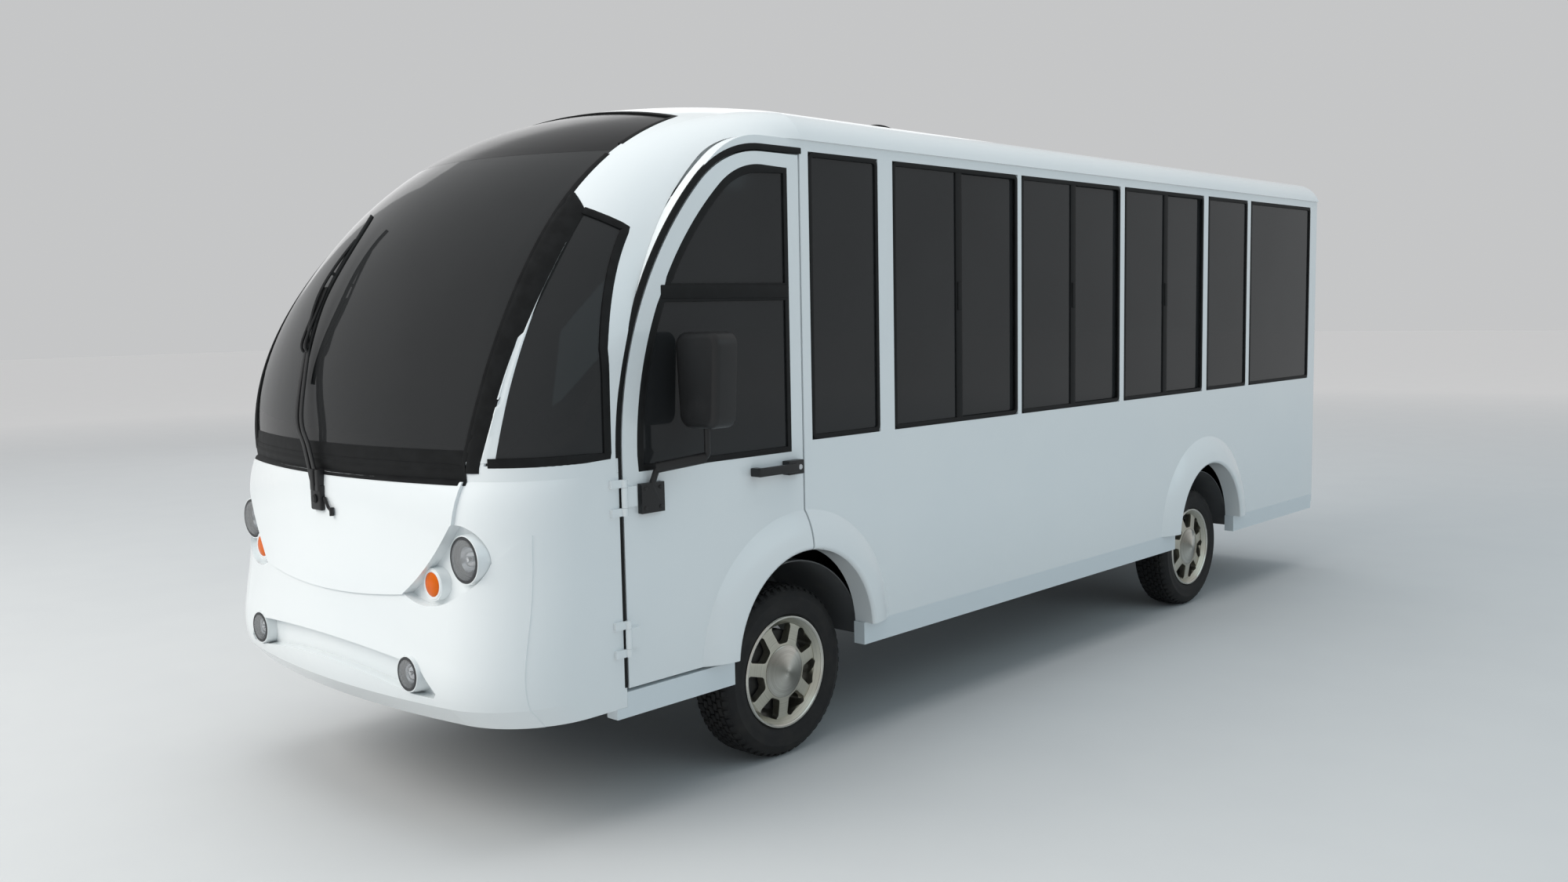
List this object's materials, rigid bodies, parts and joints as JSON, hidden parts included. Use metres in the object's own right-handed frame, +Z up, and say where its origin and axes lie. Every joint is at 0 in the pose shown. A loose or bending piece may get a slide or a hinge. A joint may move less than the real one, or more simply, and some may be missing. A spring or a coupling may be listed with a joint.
{
  "type": "electric shuttle bus",
  "caption": "Closed electric shuttle bus with a domed glass nose, front-hinged doors, a side entry door, steered front wheels and bench seats on a ladder frame.",
  "frame": {"origin": "on the ground, under the middle of the overall length and width", "axes": "+Y along the bus towards the tail (the nose points to -Y), +X to the bus's left side, +Z up"},
  "size_m": [1.9752, 5.3999, 2.1739],
  "materials": {
    "white_gelcoat": "gloss",
    "pale_metal": "gloss",
    "tinted_glass": "polished",
    "dark_gloss": "gloss",
    "black_plastic": "satin",
    "grey_liner": "matte",
    "lamp_clear": "polished",
    "lamp_amber": "gloss",
    "lamp_red": "gloss",
    "seat_cover": "matte",
    "chassis_black": "satin",
    "battery_case": "satin",
    "tyre": "matte",
    "alloy": "satin"
  },
  "bodies": {
    "body": {"chassis_frame": "chassis_black", "floor_deck": "grey_liner", "battery_pack": "battery_case", "leaf_springs": "chassis_black", "front_axle": "chassis_black", "rear_axle": "chassis_black", "wheel_wells": "grey_liner", "nose_panel": "white_gelcoat", "front_hoop": "white_gelcoat", "windscreen": "tinted_glass", "windscreen_header": "dark_gloss", "quarter_glass": "tinted_glass", "roof_panel": "white_gelcoat", "side_panel_left": "white_gelcoat", "side_panel_right": "white_gelcoat", "rear_panel": "white_gelcoat", "body_windows": "tinted_glass", "sill_skirts": "pale_metal", "headlamps": "lamp_clear", "front_indicators": "lamp_amber", "fog_lamps": "lamp_clear", "tail_lamps": "lamp_red", "wiper": "black_plastic", "roof_vent": "dark_gloss", "dashboard": "black_plastic", "front_seats": "seat_cover", "passenger_seats": "seat_cover"},
    "front_door_left": {"door_left": "white_gelcoat", "door_glass_left": "tinted_glass", "door_handle_left": "black_plastic", "mirror_left": "black_plastic"},
    "front_door_right": {"door_right": "white_gelcoat", "door_glass_right": "tinted_glass", "door_handle_right": "black_plastic", "mirror_right": "black_plastic"},
    "entry_leaf": {"entry_door": "white_gelcoat", "entry_door_glass": "tinted_glass", "entry_door_handle": "black_plastic"},
    "hub_left": {"knuckle_left": "chassis_black"},
    "hub_right": {"knuckle_right": "chassis_black"},
    "steering_link": {"tie_rod": "chassis_black"},
    "hand_wheel": {"steering_wheel": "black_plastic"},
    "wheel_front_left": {"tyre_front_left": "tyre", "rim_front_left": "alloy"},
    "wheel_front_right": {"tyre_front_right": "tyre", "rim_front_right": "alloy"},
    "wheel_rear_left": {"tyre_rear_left": "tyre", "rim_rear_left": "alloy"},
    "wheel_rear_right": {"tyre_rear_right": "tyre", "rim_rear_right": "alloy"}
  },
  "joints": [
    {"name": "door_left_hinge", "type": "hinge", "parent": "body", "child": "front_door_left", "pos_m": [0.79, -2.196, 0.8], "axis": [0, 0, -1], "range_deg": [0, 70]},
    {"name": "door_right_hinge", "type": "hinge", "parent": "body", "child": "front_door_right", "pos_m": [-0.79, -2.196, 0.8], "axis": [0, 0, 1], "range_deg": [0, 70]},
    {"name": "entry_door_hinge", "type": "hinge", "parent": "body", "child": "entry_leaf", "pos_m": [-0.79, -1.004, 0.8], "axis": [0, 0, 1], "range_deg": [0, 90]},
    {"name": "steer_left", "type": "hinge", "parent": "body", "child": "hub_left", "pos_m": [0.522, -1.47, 0.28], "axis": [0, 0, 1], "range_deg": [-30, 30]},
    {"name": "steer_right", "type": "hinge", "parent": "body", "child": "hub_right", "pos_m": [-0.522, -1.47, 0.28], "axis": [0, 0, 1], "range_deg": [-30, 30]},
    {"name": "tie_rod_pivot", "type": "hinge", "parent": "hub_left", "child": "steering_link", "pos_m": [0.522, -1.34, 0.215], "axis": [0, 0, 1], "range_deg": [-30, 30]},
    {"name": "hand_wheel_turn", "type": "hinge", "parent": "body", "child": "hand_wheel", "pos_m": [0.37, -2.03, 1.01], "axis": [0, 0.5736, 0.8192], "range_deg": [-450, 450]},
    {"name": "wheel_front_left_spin", "type": "hinge", "parent": "hub_left", "child": "wheel_front_left", "pos_m": [0.628, -1.47, 0.28], "axis": [1, 0, 0], "continuous": true},
    {"name": "wheel_front_right_spin", "type": "hinge", "parent": "hub_right", "child": "wheel_front_right", "pos_m": [-0.628, -1.47, 0.28], "axis": [1, 0, 0], "continuous": true},
    {"name": "wheel_rear_left_spin", "type": "hinge", "parent": "body", "child": "wheel_rear_left", "pos_m": [0.628, 1.38, 0.28], "axis": [1, 0, 0], "continuous": true},
    {"name": "wheel_rear_right_spin", "type": "hinge", "parent": "body", "child": "wheel_rear_right", "pos_m": [-0.628, 1.38, 0.28], "axis": [1, 0, 0], "continuous": true}
  ],
  "couplings": [
    {"joint": "steer_right", "follows": "steer_left", "ratio": 1},
    {"joint": "tie_rod_pivot", "follows": "steer_left", "ratio": -1},
    {"joint": "hand_wheel_turn", "follows": "steer_left", "ratio": 15}
  ]
}
